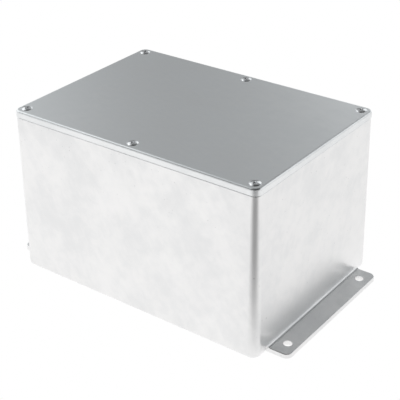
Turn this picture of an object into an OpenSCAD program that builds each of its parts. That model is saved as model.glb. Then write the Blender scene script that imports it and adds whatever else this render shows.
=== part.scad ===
// Die cast aluminium box with a mounting flange at each end: a drafted cast
// base, a cast lid that locates inside its rim, and six raised countersunk screws.
// The long side lies along X, the floor stands on z = 0 and the origin is
// under the middle of the floor. Lengths are in millimetres.

/* [Box] */
// Length over the lid, without the flanges
box_length = 171; // [150:1:200]
// Width over the lid
box_width = 120.6; // [110:0.2:140]
// Height from the floor to the top of the lid
box_height = 105; // [60:1:130]
// Radius of the vertical corners of the lid
corner_r = 4.4; // [3.6:0.1:6]

/* [Base casting] */
// Thickness of the walls at the rim
rim_wall = 2.6; // [2.2:0.1:3.2]
// Thickness of the floor
floor_thick = 3; // [2.5:0.1:4]
// How much each outer side leans out from the rim down to the parting line
outer_draft = 1; // [0.4:0.1:1.4]
// How much each inner side leans in from the rim down to the floor
inner_draft = 0.9; // [0.4:0.1:1.4]
// Step left by the die halves at the parting line
parting_step = 0.12; // [0.05:0.01:0.2]
// Radius under the bottom edge
bottom_round = 2.2; // [1:0.1:2.6]
// Fillet between the floor and the inner sides
floor_fillet = 1.5; // [1:0.1:3]
// Chamfer on the outer edge of the rim
rim_chamfer = 0.35; // [0.2:0.05:0.6]

/* [Flanges] */
// Length over both flanges
overall_length = 200; // [196:1:230]
// Width of a flange along the end wall
flange_width = 99; // [70:1:106]
// Thickness of a flange, which is also the height of the parting line
flange_thick = 2.8; // [2.7:0.1:3.5]
// Radius of the outer corners of a flange
flange_corner_r = 4; // [2:0.5:6]
// Radius on the upper edges of a flange
flange_edge_r = 0.4; // [0.2:0.1:0.8]
// Fillet between a flange and the end wall
flange_fillet = 1.5; // [1:0.1:3]
// Distance between the two hole rows along X
hole_spacing_x = 187; // [184:1:190]
// Distance between the two holes of a flange
hole_spacing_y = 80; // [50:1:84]
// Diameter of a mounting hole
hole_d = 5.2; // [4:0.1:6]

/* [Lid] */
// Height of the lid above the rim
lid_height = 4.3; // [4:0.1:6]
// Thickness of the lid's flat plate
lid_plate = 2.4; // [2:0.1:3]
// How far the lid stands out over the rim
lid_overhang = 0.28; // [0.1:0.02:0.5]
// How much the edge of the lid leans in from the seam up to its top edge
lid_draft = 0.12; // [0.05:0.01:0.2]
// Radius round the top edge of the lid
lid_edge_r = 1.1; // [0.6:0.1:1.4]
// Step between the edge of the lid and its top radius
lid_edge_step = 0.1; // [0.05:0.01:0.2]
// Chamfer on the lower edge of the lid
lid_chamfer = 0.3; // [0.1:0.05:0.5]
// Depth of the locating lip below the rim
lip_depth = 1.6; // [1:0.1:3]
// Thickness of the locating lip
lip_thick = 1.6; // [1.2:0.1:2.5]
// Gap between the locating lip and the inner side of the rim
lip_gap = 0.35; // [0.2:0.05:0.5]

/* [Lid screws] */
// Distance of the screw rows from the middle, along X
screw_x = 79.9; // [79:0.1:80.5]
// Distance of the screw rows from the middle, along Y
screw_y = 54.3; // [53.8:0.1:55]
// Diameter of a screw's shank
shank_d = 3; // [2.8:0.1:3.2]
// Diameter of a screw's raised countersunk head
head_d = 6.1; // [5.6:0.1:6.4]
// Height of the straight edge of the head
head_edge = 0.2; // [0.1:0.05:0.4]
// How far the head's edge lies below the top of the lid
head_sunk = 0.1; // [0.05:0.05:0.3]
// How far the head's dome rises over its edge
head_rise = 0.8; // [0.4:0.05:1]
// Length of a screw from the edge of its head
screw_length = 13; // [10:1:16]
// Diameter over the wings of the cross recess
recess_d = 3.4; // [2.8:0.1:3.6]
// Width of a wing of the cross recess
recess_wing = 0.8; // [0.6:0.05:1]
// Depth of the cross recess from the top of the dome
recess_depth = 2; // [1.4:0.1:2.2]

/* [Screw bosses and board guides] */
// Radius of a boss at the rim
boss_r = 4.6; // [4:0.1:5]
// How much a boss grows in radius down to the floor
boss_draft = 0.8; // [0.3:0.1:1.2]
// Depth of a tapped hole to the end of its straight wall
tapped_depth = 14; // [12:1:20]
// Radial gap between a tapped hole and the shank
tapped_gap = 0.04; // [0.02:0.01:0.1]
// Width of the slot between two guide ribs
guide_slot = 1.9; // [1.6:0.1:2.5]
// Width of a guide rib
guide_rib = 1.5; // [1.2:0.1:2]
// How far a guide rib stands out from the wall
guide_depth = 1.8; // [1.2:0.1:2.5]
// Distance from the rim down to the top of the guide ribs
guide_drop = 12; // [8:1:20]
// Pitch of the board slots along the long walls
guide_pitch = 20; // [15:1:21]

/* [Hidden] */
$fn = 64;

rim_z = box_height - lid_height;
arc_steps = 6;

// Middles of the vertical corner rounds of the outside, shared by base and lid
corner_x = box_length / 2 - corner_r;
corner_y = box_width / 2 - corner_r;
rim_r = corner_r - lid_overhang;
foot_r = rim_r + outer_draft - parting_step;

// Middles of the vertical corner rounds of the cavity
cavity_r = 4;
cavity_x = corner_x + rim_r - rim_wall - cavity_r;
cavity_y = corner_y + rim_r - rim_wall - cavity_r;
cavity_foot_r = cavity_r - inner_draft;

// How far the boss blocks run on into the walls
boss_reach = 6;
// Gap between a boss and the ends of the locating lip
boss_clear = 0.5;
// Radius of the pads under the lid, which sit on the bosses
pad_r = boss_r + 0.3;
// How far cutting shapes run past the surface that they cut
over = 1;

// Height of the upper end of the head's edge, where its dome begins
head_z = box_height - head_sunk;
head_cone = (head_d - shank_d) / 2;
// Radius of the sphere that the dome is cut from
dome_r = (pow(head_d / 2, 2) + pow(head_rise, 2)) / (2 * head_rise);
dome_angle = asin(head_d / 2 / dome_r);
guide_top = rim_z - guide_drop;
guide_lead = 2;
// Board slots in each half of a long wall
guide_slots = 3;

// Points of an arc round c, in steps of equal angle
function arc(c, r, from, to, steps) = [
    for (i = [0:steps])
        c + r * [cos(from + (to - from) * i / steps), sin(from + (to - from) * i / steps)]
];

// Outlines of [radius round the corner's middle, height], from bottom to top
base_profile = concat(
    arc([foot_r - bottom_round, bottom_round], bottom_round, -90, 0, arc_steps),
    [[foot_r, flange_thick],
     [rim_r + outer_draft, flange_thick],
     [rim_r, rim_z - rim_chamfer],
     [rim_r - rim_chamfer, rim_z]]
);
cavity_profile = concat(
    arc([cavity_foot_r - floor_fillet, floor_thick + floor_fillet], floor_fillet, -90, 0, arc_steps),
    [[cavity_r, rim_z],
     [cavity_r, rim_z + over]]
);
boss_profile = [
    [boss_r + boss_draft, 0],
    [boss_r, rim_z],
    [boss_r, rim_z + 2 * over]
];
boss_room_profile = [
    [boss_r + boss_clear, rim_z - lip_depth - over],
    [boss_r + boss_clear, rim_z]
];
lid_profile = concat(
    [[corner_r - lid_chamfer, rim_z],
     [corner_r, rim_z + lid_chamfer],
     [corner_r - lid_draft, box_height - lid_edge_r]],
    arc([corner_r - lid_draft - lid_edge_step - lid_edge_r, box_height - lid_edge_r],
        lid_edge_r, 0, 90, arc_steps)
);
flange_profile = concat(
    [[flange_corner_r, 0],
     [flange_corner_r, flange_thick - flange_edge_r]],
    arc([flange_corner_r - flange_edge_r, flange_thick - flange_edge_r], flange_edge_r, 0, 90, 3)
);

// A profile and its mirror image, moved out from the middle by half_width
function both_sides(profile, half_width) = concat(
    [for (p = profile) [half_width + p[0], p[1]]],
    [for (i = [len(profile) - 1:-1:0]) [-half_width - profile[i][0], profile[i][1]]]
);

// A block with rounded vertical corners whose four sides all follow a profile
module profiled_block(profile, half_x, half_y) {
    low = profile[0][1];
    high = profile[len(profile) - 1][1];
    if (half_y > 0)
        rotate([90, 0, 0])
            linear_extrude(2 * half_y, center = true)
                polygon(both_sides(profile, half_x));
    if (half_x > 0)
        rotate([90, 0, 90])
            linear_extrude(2 * half_x, center = true)
                polygon(both_sides(profile, half_y));
    for (sx = [-1, 1], sy = [-1, 1])
        translate([sx * half_x, sy * half_y, 0])
            rotate([0, 0, sx > 0 ? (sy > 0 ? 0 : 270) : (sy > 0 ? 90 : 180)])
                rotate_extrude(angle = 90)
                    polygon(concat([[0, low]], profile, [[0, high]]));
}

// Puts its children at every lid screw
module at_screws() {
    for (column = [-1:1], row = [-1, 1])
        translate([column * screw_x, row * screw_y, 0])
            children();
}

// A block at every lid screw that stands in from the walls with a round nose
module boss_blocks(profile) {
    for (row = [-1, 1]) {
        for (column = [-1, 1])
            translate([column * (screw_x + boss_reach), row * (screw_y + boss_reach), 0])
                profiled_block(profile, boss_reach, boss_reach);
        translate([0, row * (screw_y + boss_reach), 0])
            profiled_block(profile, 0, boss_reach);
    }
}

// One guide rib on the wall at +Y, with a sloped lead-in at its top
module guide_bar() {
    wall_top = cavity_y + cavity_r;
    wall_foot = cavity_y + cavity_foot_r;
    rotate([90, 0, 90])
        linear_extrude(guide_rib, center = true)
            polygon([
                [wall_foot - guide_depth, 0],
                [wall_top - guide_depth, guide_top - guide_lead],
                [wall_top, guide_top],
                [wall_top + over, guide_top],
                [wall_top + over, 0]
            ]);
}

// Pairs of ribs that hold the edges of boards standing across the box
module board_guides() {
    for (side = [0, 1], half = [-1, 1], slot = [1:guide_slots], edge = [-1, 1])
        mirror([0, side, 0])
            translate([half * slot * guide_pitch + edge * (guide_slot + guide_rib) / 2, 0, 0])
                guide_bar();
}

module cavity() {
    difference() {
        profiled_block(cavity_profile, cavity_x, cavity_y);
        boss_blocks(boss_profile);
        board_guides();
    }
}

// One tapped hole: straight wall, drill point and a small chamfer at the mouth
module tapped_hole() {
    hole_r = shank_d / 2 + tapped_gap;
    point = hole_r * tan(31);
    mouth = 0.4;
    translate([0, 0, rim_z - tapped_depth])
        cylinder(h = tapped_depth + over, r = hole_r);
    translate([0, 0, rim_z - tapped_depth - point])
        cylinder(h = point, r1 = 0, r2 = hole_r);
    translate([0, 0, rim_z - mouth])
        cylinder(h = mouth + over, r1 = hole_r, r2 = hole_r + mouth + over);
}

// The flange at +X with the fillet that joins it to the end wall
module flange() {
    outer_x = overall_length / 2;
    wall_x = corner_x + rim_r + outer_draft;
    inner_x = wall_x - floor_thick - flange_corner_r;
    half_x = (outer_x - inner_x) / 2 - flange_corner_r;
    translate([(outer_x + inner_x) / 2, 0, 0])
        profiled_block(flange_profile, half_x, flange_width / 2 - flange_corner_r);
    rotate([90, 0, 0])
        linear_extrude(flange_width, center = true)
            polygon(concat(
                [[wall_x - over, flange_thick - over], [wall_x + flange_fillet, flange_thick - over]],
                arc([wall_x + flange_fillet, flange_thick + flange_fillet],
                    flange_fillet, 270, 180, arc_steps),
                [[wall_x - over, flange_thick + flange_fillet]]
            ));
}

module mounting_holes() {
    for (sx = [-1, 1], sy = [-1, 1])
        translate([sx * hole_spacing_x / 2, sy * hole_spacing_y / 2, -over])
            cylinder(h = flange_thick + 2 * over, d = hole_d);
}

// Base casting
module base() {
    color("gainsboro")
        difference() {
            union() {
                profiled_block(base_profile, corner_x, corner_y);
                flange();
                mirror([1, 0, 0]) flange();
            }
            cavity();
            at_screws() tapped_hole();
            mounting_holes();
        }
}

// Ring below the lid that drops inside the rim and leaves room for the bosses
module locating_lip() {
    lip_x = cavity_x + cavity_r - lip_gap;
    lip_y = cavity_y + cavity_r - lip_gap;
    lip_r = cavity_r - lip_gap;
    lead = 0.3;
    outside = [
        [lip_r - lead, rim_z - lip_depth],
        [lip_r, rim_z - lip_depth + lead],
        [lip_r, rim_z + over]
    ];
    difference() {
        profiled_block(outside, lip_x - lip_r, lip_y - lip_r);
        boss_blocks(boss_room_profile);
    }
}

// Hollow under the lid's plate, with a pad left round each screw hole
module lid_pocket() {
    pocket_r = cavity_r - lip_gap - lip_thick;
    pocket_top = box_height - lid_plate;
    fillet = 0.8;
    pocket_profile = concat(
        [[pocket_r, rim_z - lip_depth - over]],
        arc([pocket_r - fillet, pocket_top - fillet], fillet, 0, 90, 3)
    );
    difference() {
        profiled_block(pocket_profile, cavity_x, cavity_y);
        at_screws()
            translate([0, 0, rim_z])
                cylinder(h = lid_height, r = pad_r);
    }
}

// Clearance hole and countersink, which fits the head's cone
module countersunk_hole() {
    clear_r = shank_d / 2 + 0.25;
    cone_top = head_z - head_edge;
    translate([0, 0, rim_z - lip_depth - over])
        cylinder(h = lid_height + lip_depth + 2 * over, r = clear_r);
    translate([0, 0, cone_top - head_cone])
        cylinder(h = head_cone + head_edge + head_sunk + over,
                 r1 = shank_d / 2, r2 = shank_d / 2 + head_cone + head_edge + head_sunk + over);
}

// Lid casting
module lid() {
    color("darkgray")
        difference() {
            union() {
                profiled_block(lid_profile, corner_x, corner_y);
                locating_lip();
            }
            lid_pocket();
            at_screws() countersunk_hole();
        }
}

// Cross recess with tapered wings and a pointed middle, down from z = 0
module cross_recess() {
    foot = recess_d / 4;
    for (turn = [0, 90])
        rotate([90, 0, turn])
            linear_extrude(recess_wing, center = true)
                polygon([
                    [-foot, -recess_depth],
                    [foot, -recess_depth],
                    [recess_d / 2, 0],
                    [recess_d / 2, over],
                    [-recess_d / 2, over],
                    [-recess_d / 2, 0]
                ]);
    translate([0, 0, -recess_depth])
        cylinder(h = recess_depth, r1 = foot * 0.7, r2 = foot * 1.2);
}

// One countersunk screw, seated in the lid; turn is how far its recess is turned
module lid_screw(column, row, turn) {
    shank_r = shank_d / 2;
    tip = 0.5;
    color("silver")
        translate([column * screw_x, row * screw_y, head_z])
            difference() {
                rotate_extrude()
                    polygon(concat(
                        [[0, -screw_length],
                         [shank_r - tip, -screw_length],
                         [shank_r, -screw_length + tip],
                         [shank_r, -head_edge - head_cone],
                         [head_d / 2, -head_edge]],
                        arc([0, head_rise - dome_r], dome_r, 90 - dome_angle, 90, arc_steps)
                    ));
                translate([0, 0, head_rise])
                    rotate([0, 0, turn])
                        cross_recess();
            }
}

base();
lid();
lid_screw(-1, -1, 12);  // screw_front_left
lid_screw(0, -1, 80);  // screw_front_middle
lid_screw(1, -1, 75);  // screw_front_right
lid_screw(-1, 1, 30);  // screw_back_left
lid_screw(0, 1, 55);  // screw_back_middle
lid_screw(1, 1, 62);  // screw_back_right
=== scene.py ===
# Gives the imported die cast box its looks: cast aluminium finishes on the two castings,
# six plated screws with threads and cross recesses, and a plain white studio round it.
# Lengths are in metres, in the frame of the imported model.
import math

import bmesh
import bpy
from mathutils import Matrix, Vector


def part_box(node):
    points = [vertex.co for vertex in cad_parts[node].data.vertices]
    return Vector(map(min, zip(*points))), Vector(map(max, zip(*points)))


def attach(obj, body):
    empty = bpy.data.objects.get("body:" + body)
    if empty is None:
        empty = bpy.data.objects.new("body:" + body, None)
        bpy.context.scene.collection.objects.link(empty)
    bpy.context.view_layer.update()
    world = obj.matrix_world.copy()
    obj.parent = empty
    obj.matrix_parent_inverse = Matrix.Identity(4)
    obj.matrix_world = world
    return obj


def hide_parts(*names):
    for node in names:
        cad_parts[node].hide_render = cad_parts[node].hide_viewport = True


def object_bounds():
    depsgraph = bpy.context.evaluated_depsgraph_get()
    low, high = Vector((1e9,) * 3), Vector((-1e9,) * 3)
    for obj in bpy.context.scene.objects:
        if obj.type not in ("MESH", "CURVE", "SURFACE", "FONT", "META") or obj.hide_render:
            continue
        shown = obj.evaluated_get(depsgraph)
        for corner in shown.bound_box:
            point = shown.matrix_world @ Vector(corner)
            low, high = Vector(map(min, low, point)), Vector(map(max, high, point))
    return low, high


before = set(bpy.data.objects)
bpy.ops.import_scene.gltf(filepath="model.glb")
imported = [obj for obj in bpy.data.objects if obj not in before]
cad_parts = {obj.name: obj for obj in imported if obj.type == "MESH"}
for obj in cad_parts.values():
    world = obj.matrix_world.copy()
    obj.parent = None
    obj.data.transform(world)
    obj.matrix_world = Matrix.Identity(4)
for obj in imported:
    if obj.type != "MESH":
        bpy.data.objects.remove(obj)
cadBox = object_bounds()
body = "root"
mm = 0.001


class Wire:
    # A node's output that can stand in sums: an expression on wires adds Math nodes

    def __init__(self, sheet, socket):
        self.sheet = sheet
        self.socket = socket

    def math(self, operation, first, second):
        return self.sheet.node("ShaderNodeMath", {"operation": operation}, {0: first, 1: second})

    def __add__(self, other):
        return self.math("ADD", self, other)

    def __radd__(self, other):
        return self.math("ADD", other, self)

    def __sub__(self, other):
        return self.math("SUBTRACT", self, other)

    def __rsub__(self, other):
        return self.math("SUBTRACT", other, self)

    def __mul__(self, other):
        return self.math("MULTIPLY", self, other)

    def __rmul__(self, other):
        return self.math("MULTIPLY", other, self)


class NodeSheet:
    # The node tree of a material or of the world, with one way to add any node

    def __init__(self, tree):
        self.tree = tree
        self.tree.nodes.clear()

    def node(self, kind, settings=None, sockets=None, output=0):
        node = self.tree.nodes.new(kind)
        for name, value in (settings or {}).items():
            setattr(node, name, value)
        for key, value in (sockets or {}).items():
            if isinstance(value, Wire):
                self.tree.links.new(value.socket, node.inputs[key])
            else:
                node.inputs[key].default_value = value
        return Wire(self, node.outputs[output]) if node.outputs else node

    def smooth(self, value, low, high, least=0.0, most=1.0):
        # Follows value from least at low to most at high, with soft ends
        return self.node("ShaderNodeMapRange", {"interpolation_type": "SMOOTHSTEP"},
                         {"Value": value, "From Min": low, "From Max": high,
                          "To Min": least, "To Max": most})

    def mixColours(self, factor, first, second):
        return self.node("ShaderNodeMix", {"data_type": "RGBA"}, {0: factor, 6: first, 7: second}, 2)

    def noise(self, place, cell, detail=2.0, roughness=0.5, warp=0.0):
        return self.node("ShaderNodeTexNoise", {},
                         {"Vector": place, "Scale": 1 / cell, "Detail": detail,
                          "Roughness": roughness, "Distortion": warp})

    def stretched(self, place, turn, size):
        # Turns the pattern's space, then stretches it to cells of that size
        turned = self.node("ShaderNodeVectorRotate", {"rotation_type": "EULER_XYZ"},
                           {"Vector": place, "Rotation": turn})
        return self.node("ShaderNodeVectorMath", {"operation": "MULTIPLY"},
                         {0: turned, 1: [1 / s for s in size]})

    def spots(self, place, cell, radius, share):
        # Round spots, one in each chosen cell: 1 in a spot's middle and 0 outside
        settings = {"feature": "F1"}
        sockets = {"Vector": place, "Scale": 1 / cell, "Randomness": 1.0}
        reach = self.node("ShaderNodeTexVoronoi", settings, sockets, "Distance")
        pick = self.node("ShaderNodeTexVoronoi", settings, sockets, "Color")
        chosen = self.smooth(pick, 1 - share, 1 - share * 0.6)
        return self.smooth(reach, radius / cell, radius / cell * 0.35) * chosen


def newFinish(name):
    material = bpy.data.materials.new(name)
    material.use_nodes = True
    return material, NodeSheet(material.node_tree)


def giveFinish(piece, material):
    piece.data.materials.clear()
    piece.data.materials.append(material)


# The bare skin of the two castings
baseFinish = {
    "light": (0.905, 0.900, 0.897),   # clean skin of the casting
    "cloud": (0.855, 0.856, 0.858),   # slightly duller patches
    "stain": (0.46, 0.465, 0.47),     # inside pits and specks
    "cloudCell": 30 * mm,
    "flowCell": (3 * mm, 3 * mm, 26 * mm),
    "flowTurn": (0.35, 0.5, 0.2),
    "roughness": (0.30, 0.40),
    "speckShare": 0.30,
    "peel": 0.10,
    "peelCell": 1.5 * mm,
}

lidFinish = {
    "light": (0.885, 0.893, 0.897),
    "cloud": (0.84, 0.852, 0.858),
    "stain": (0.62, 0.63, 0.64),
    "cloudCell": 42 * mm,
    "flowCell": (26 * mm, 4 * mm, 4 * mm),
    "flowTurn": (0.0, 0.0, 0.35),
    "roughness": (0.28, 0.36),
    "speckShare": 0.10,
    "peel": 0.06,
    "peelCell": 1.8 * mm,
}


# Pits and specks, the same on both castings
castMarks = {
    "gatherCell": 28 * mm,
    "gatherRange": (0.46, 0.62),
    "pitCell": 4.2 * mm,
    "pitRadius": 0.75 * mm,
    "speckCell": 2.6 * mm,
    "speckRadius": 0.42 * mm,
    "speckStrength": 0.55,
    "stainStrength": 0.8,
    "roughening": 0.15,
    "depth": 1.2,
}


def castFinish(name, look):
    material, sheet = newFinish(name)
    place = sheet.node("ShaderNodeTexCoord", {}, {}, "Object")

    clouds = sheet.noise(place, look["cloudCell"], 3.0, 0.55)
    mottle = sheet.noise(place, look["cloudCell"] / 5, 3.0, 0.6, 0.4)
    flow = sheet.noise(sheet.stretched(place, look["flowTurn"], look["flowCell"]), 1.0, 3.0, 0.6)
    dull = sheet.smooth(clouds * 0.5 + mottle * 0.3 + flow * 0.2, 0.38, 0.62)

    # Pits gather where the metal met last, so a broad noise says where they are let through
    gathered = sheet.smooth(sheet.noise(place, castMarks["gatherCell"], 2.0),
                            *castMarks["gatherRange"])
    pits = gathered * sheet.spots(place, castMarks["pitCell"], castMarks["pitRadius"],
                                  look["speckShare"])
    specks = sheet.spots(place, castMarks["speckCell"], castMarks["speckRadius"],
                         look["speckShare"] * 0.8)
    marks = sheet.node("ShaderNodeMath", {"operation": "MAXIMUM"},
                       {0: pits, 1: specks * castMarks["speckStrength"]})

    skin = sheet.mixColours(dull, look["light"] + (1,), look["cloud"] + (1,))
    colour = sheet.mixColours(marks * castMarks["stainStrength"], skin, look["stain"] + (1,))
    smooth, rough = look["roughness"]
    roughness = smooth + (rough - smooth) * dull + marks * castMarks["roughening"]

    peel = sheet.noise(place, look["peelCell"], 3.0, 0.55)
    height = peel * 0.5 + flow * 0.5 - marks * castMarks["depth"]
    bumps = sheet.node("ShaderNodeBump", {},
                       {"Strength": look["peel"], "Distance": 0.1 * mm, "Height": height})
    surface = sheet.node("ShaderNodeBsdfPrincipled", {},
                         {"Base Color": colour, "Metallic": 1.0,
                          "Roughness": roughness, "Normal": bumps})
    sheet.node("ShaderNodeOutputMaterial", {}, {"Surface": surface})
    return material


giveFinish(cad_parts["base"], castFinish("cast_body_finish", baseFinish))
giveFinish(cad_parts["lid"], castFinish("cast_lid_finish", lidFinish))
print("castings finished")


# A raised countersunk screw; its form is measured down from the top of the node's box
screw = {
    "headRadius": 3.05 * mm,
    "rimDrop": 0.716 * mm,       # down to the head's edge
    "domeRise": 0.8 * mm,
    "edgeRound": 0.1 * mm,
    "neckRadius": 1.5 * mm,
    "coreRadius": 1.2 * mm,
    "crestRadius": 1.5 * mm,
    "neckLength": 0.6 * mm,
    "neckTaper": 0.4 * mm,
    "tipLength": 0.5 * mm,
    "tipShare": 0.72,            # radius of the tip's flat as a share of the core's
    "pitch": 0.5 * mm,
    "ringSteps": 64,
    "recessReach": 2.6 * mm,
    "recessWing": 0.46 * mm,     # half the width of a wing
    "recessDepth": 1.92 * mm,
    "turns": {
        "screw_front_left": 12, "screw_front_middle": 80, "screw_front_right": 75,
        "screw_back_left": 30, "screw_back_middle": 55, "screw_back_right": 62,
    },
}


def screwFinish():
    material, sheet = newFinish("plated_steel_finish")
    place = sheet.node("ShaderNodeTexCoord", {}, {}, "Object")
    grain = sheet.noise(place, 0.35 * mm, 3.0, 0.6)
    patches = sheet.smooth(sheet.noise(place, 1.6 * mm, 2.0), 0.4, 0.65)
    colour = sheet.mixColours(patches, (0.83, 0.83, 0.835, 1), (0.76, 0.765, 0.78, 1))
    bumps = sheet.node("ShaderNodeBump", {},
                       {"Strength": 0.05, "Distance": 0.05 * mm, "Height": grain})
    surface = sheet.node("ShaderNodeBsdfPrincipled", {},
                         {"Base Color": colour, "Metallic": 1.0,
                          "Roughness": 0.12 + 0.08 * patches, "Normal": bumps})
    sheet.node("ShaderNodeOutputMaterial", {}, {"Surface": surface})
    return material


def spinProfile(points, steps):
    # Turns a profile of (radius, height) points once round the z axis
    bm = bmesh.new()
    corners = [bm.verts.new((radius, 0, height)) for radius, height in points]
    edges = [bm.edges.new(pair) for pair in zip(corners, corners[1:])]
    bmesh.ops.spin(bm, geom=corners + edges, cent=(0, 0, 0), axis=(0, 0, 1),
                   angle=math.tau, steps=steps, use_merge=True)
    bmesh.ops.remove_doubles(bm, verts=bm.verts, dist=0.001 * mm)
    bmesh.ops.recalc_face_normals(bm, faces=bm.faces)
    return bm


def meshFrom(bm, name):
    mesh = bpy.data.meshes.new(name)
    bm.to_mesh(mesh)
    bm.free()
    return mesh


def screwBody(length):
    # Domed countersunk head, cone, neck and core; also gives the height where the core begins
    dome, drop, r = screw["domeRise"], screw["rimDrop"], screw["headRadius"]
    edge = screw["edgeRound"]
    top = -(drop - dome)
    ballRadius = (r * r + dome * dome) / (2 * dome)
    sweep = math.asin((r - edge) / ballRadius)
    arcSteps = 8
    domeLine = [(ballRadius * math.sin(sweep * i / arcSteps),
                 top - ballRadius * (1 - math.cos(sweep * i / arcSteps)))
                for i in range(arcSteps + 1)]
    rim = -drop - edge
    neckTop = rim - edge - (r - screw["neckRadius"])
    neckEnd = neckTop - screw["neckLength"]
    coreTop = neckEnd - screw["neckTaper"]
    points = domeLine + [
        (r - edge * 0.3, -drop - edge * 0.25),
        (r, rim),
        (r, rim - edge),
        (screw["neckRadius"], neckTop),
        (screw["neckRadius"], neckEnd),
        (screw["coreRadius"], coreTop),
        (screw["coreRadius"], screw["tipLength"] - length),
        (screw["coreRadius"] * screw["tipShare"], -length),
        (0, -length),
    ]
    return meshFrom(spinProfile(points, screw["ringSteps"]), "screw_body"), coreTop


def screwThread(top, bottom):
    # One ridge that climbs round the core
    bm = bmesh.new()
    core, crest, pitch = screw["coreRadius"] - 0.12 * mm, screw["crestRadius"], screw["pitch"]
    section = [(core, -0.47), (crest, -0.07), (crest, 0.07), (core, 0.47)]
    corners = [bm.verts.new((radius, 0, bottom + height * pitch)) for radius, height in section]
    ridge = bm.faces.new(corners)
    turns = (top - bottom) / pitch - 1
    stepsPerTurn = 32
    steps = round(turns * stepsPerTurn)
    bmesh.ops.spin(bm, geom=[ridge], cent=(0, 0, 0), axis=(0, 0, 1), angle=math.tau * turns,
                   steps=steps, dvec=(0, 0, pitch / stepsPerTurn), use_merge=False)
    bmesh.ops.recalc_face_normals(bm, faces=bm.faces)
    return meshFrom(bm, "screw_thread")


def recessCutter():
    # Two crossed bars that taper down, for the four wings of the recess
    bm = bmesh.new()
    reach, wing, depth = screw["recessReach"], screw["recessWing"], screw["recessDepth"]
    for turn in (0, 90):
        made = bmesh.ops.create_cube(bm, size=1.0)
        bmesh.ops.scale(bm, vec=(2 * reach, 2 * wing, 2 * depth), verts=made["verts"])
        low = [v for v in made["verts"] if v.co.z < 0]
        bmesh.ops.scale(bm, vec=(0.28, 0.7, 1), verts=low)
        bmesh.ops.rotate(bm, cent=(0, 0, 0), matrix=Matrix.Rotation(math.radians(turn), 3, "Z"),
                         verts=made["verts"])
    bmesh.ops.recalc_face_normals(bm, faces=bm.faces)
    return meshFrom(bm, "recess_cutter")


def cutRecess(mesh):
    # Boolean cut, then a small bevel along the sharp edges it leaves
    blank = bpy.data.objects.new("screw_blank", mesh)
    cutter = bpy.data.objects.new("recess_cutter", recessCutter())
    for item in (blank, cutter):
        bpy.context.scene.collection.objects.link(item)
    cut = blank.modifiers.new("recess", "BOOLEAN")
    cut.operation, cut.solver, cut.object, cut.use_self = "DIFFERENCE", "EXACT", cutter, True
    soften = blank.modifiers.new("soften", "BEVEL")
    soften.width, soften.segments, soften.limit_method = 0.05 * mm, 2, "ANGLE"
    soften.angle_limit = math.radians(40)
    shapes = bpy.context.evaluated_depsgraph_get()
    finished = bpy.data.meshes.new_from_object(blank.evaluated_get(shapes))
    for item in (blank, cutter):
        bpy.data.objects.remove(item)
    return finished


def buildScrews():
    low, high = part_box("screw_front_left")
    length = high.z - low.z
    plainMesh, coreTop = screwBody(length)
    headMesh = cutRecess(plainMesh)
    thread = screwThread(coreTop, screw["tipLength"] - length)
    bm = bmesh.new()
    bm.from_mesh(headMesh)
    bm.from_mesh(thread)
    whole = meshFrom(bm, "screw")
    finish = screwFinish()
    for node, turn in screw["turns"].items():
        low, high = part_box(node)
        middle = (low + high) / 2
        mesh = whole.copy()
        mesh.transform(Matrix.Translation((middle.x, middle.y, high.z))
                       @ Matrix.Rotation(math.radians(turn), 4, "Z"))
        piece = bpy.data.objects.new("plated_" + node, mesh)
        bpy.context.scene.collection.objects.link(piece)
        mesh.shade_smooth()
        mesh.set_sharp_from_angle(angle=math.radians(35))
        giveFinish(piece, finish)
        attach(piece, body)
        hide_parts(node)


buildScrews()
print("screws built")


# White surroundings for the camera, and panels that only reflections see
studio = {
    "floorSize": 6.0,
    "floorDrop": 0.3 * mm,
    "floorLight": 1.0,
    "darkPatch": (0.20, -0.22),     # where the white floor falls off, on the camera's side
    "darkReach": (0.08, 0.20),
    "darkLevel": 0.28,
    "sideEdge": (0.088, 0.10),      # from here on in x, the floor is a little dimmer
    "sideDim": 0.08,
    "roomLevel": 0.07,
    "roomTint": (0.97, 1.0, 1.015),
    # azimuth from -y towards +x, elevation, angle where full, angle where it ends, brightness
    "panels": [
        (-86, 12, 30, 52, 0.90),
        (135, 4, 22, 45, 0.85),
        (-172, 6, 14, 30, 0.80),
        (-143, 29, 18, 48, 0.29),
        (-80, 50, 12, 30, 0.45),
    ],
}


def outward(azimuth, elevation):
    # Unit vector from the object out to a place at that azimuth and elevation
    a, e = math.radians(azimuth), math.radians(elevation)
    return Vector((math.sin(a) * math.cos(e), -math.cos(a) * math.cos(e), math.sin(e)))


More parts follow.
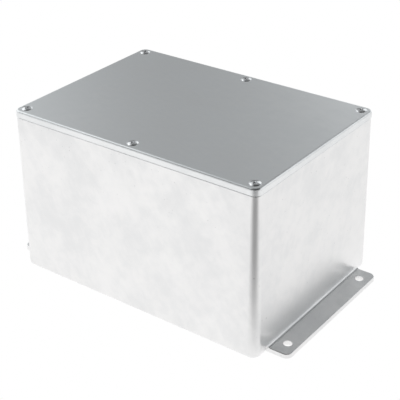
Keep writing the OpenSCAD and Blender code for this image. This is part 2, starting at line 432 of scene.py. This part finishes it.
def buildFloor():
    bm = bmesh.new()
    bmesh.ops.create_grid(bm, x_segments=1, y_segments=1, size=studio["floorSize"] / 2)
    bmesh.ops.translate(bm, vec=(0, 0, cadBox[0].z - studio["floorDrop"]), verts=bm.verts)
    floor = bpy.data.objects.new("studio_floor", meshFrom(bm, "studio_floor"))
    bpy.context.scene.collection.objects.link(floor)
    material, sheet = newFinish("white_floor")
    place = sheet.node("ShaderNodeTexCoord", {}, {}, "Object")
    x, y = studio["darkPatch"]
    away = sheet.node("ShaderNodeVectorMath", {"operation": "DISTANCE"},
                      {0: place, 1: (x, y, 0)}, "Value")
    near, far = studio["darkReach"]
    reflected = sheet.smooth(away, near, far, studio["darkLevel"], 1.0)
    across = sheet.node("ShaderNodeSeparateXYZ", {}, {0: place}, "X")
    reflected = reflected * (1 - studio["sideDim"] * sheet.smooth(across, *studio["sideEdge"]))
    seen = sheet.node("ShaderNodeLightPath", {}, {}, "Is Camera Ray")
    level = seen + reflected * (1 - seen)
    glow = sheet.node("ShaderNodeEmission", {},
                      {"Color": (1, 1, 1, 1), "Strength": level * studio["floorLight"]})
    sheet.node("ShaderNodeOutputMaterial", {}, {"Surface": glow})
    giveFinish(floor, material)


def buildSky():
    world = bpy.data.worlds.new("studio")
    world.use_nodes = True
    bpy.context.scene.world = world
    sheet = NodeSheet(world.node_tree)
    direction = sheet.node("ShaderNodeTexCoord", {}, {}, "Generated")
    level = studio["roomLevel"]
    for azimuth, elevation, full, end, gain in studio["panels"]:
        along = sheet.node("ShaderNodeVectorMath", {"operation": "DOT_PRODUCT"},
                           {0: direction, 1: outward(azimuth, elevation)}, "Value")
        level = level + gain * sheet.smooth(along, math.cos(math.radians(end)),
                                            math.cos(math.radians(full)))
    seen = sheet.node("ShaderNodeLightPath", {}, {}, "Is Camera Ray")
    level = seen + level * (1 - seen)
    tint = sheet.mixColours(seen, studio["roomTint"] + (1,), (1, 1, 1, 1))
    glow = sheet.node("ShaderNodeBackground", {}, {"Color": tint, "Strength": level})
    sheet.node("ShaderNodeOutputWorld", {}, {"Surface": glow})


buildFloor()
buildSky()


# The camera looks at "aim" from that azimuth (from -y towards +x) and elevation, in degrees
view = {
    "azimuth": 37.01,
    "elevation": 29.06,
    "roll": -0.83,
    "distance": 0.66825,
    "aim": (-0.00887, 0.01729, 0.03445),
    "lens": 96.23,
    "sensor": 36.0,
}


def buildCamera():
    back = outward(view["azimuth"], view["elevation"])
    right = Vector((0, 0, 1)).cross(back).normalized()
    up = back.cross(right)
    level = Matrix((right, up, back)).transposed()
    turned = level @ Matrix.Rotation(math.radians(view["roll"]), 3, "Z")
    data = bpy.data.cameras.new("camera")
    data.lens, data.sensor_width = view["lens"], view["sensor"]
    data.clip_start, data.clip_end = 0.01, 20
    camera = bpy.data.objects.new("camera", data)
    bpy.context.scene.collection.objects.link(camera)
    camera.matrix_world = (Matrix.Translation(Vector(view["aim"]) + back * view["distance"])
                           @ turned.to_4x4())
    bpy.context.scene.camera = camera
    bpy.context.scene.view_settings.view_transform = "Standard"


buildCamera()
print("studio set")
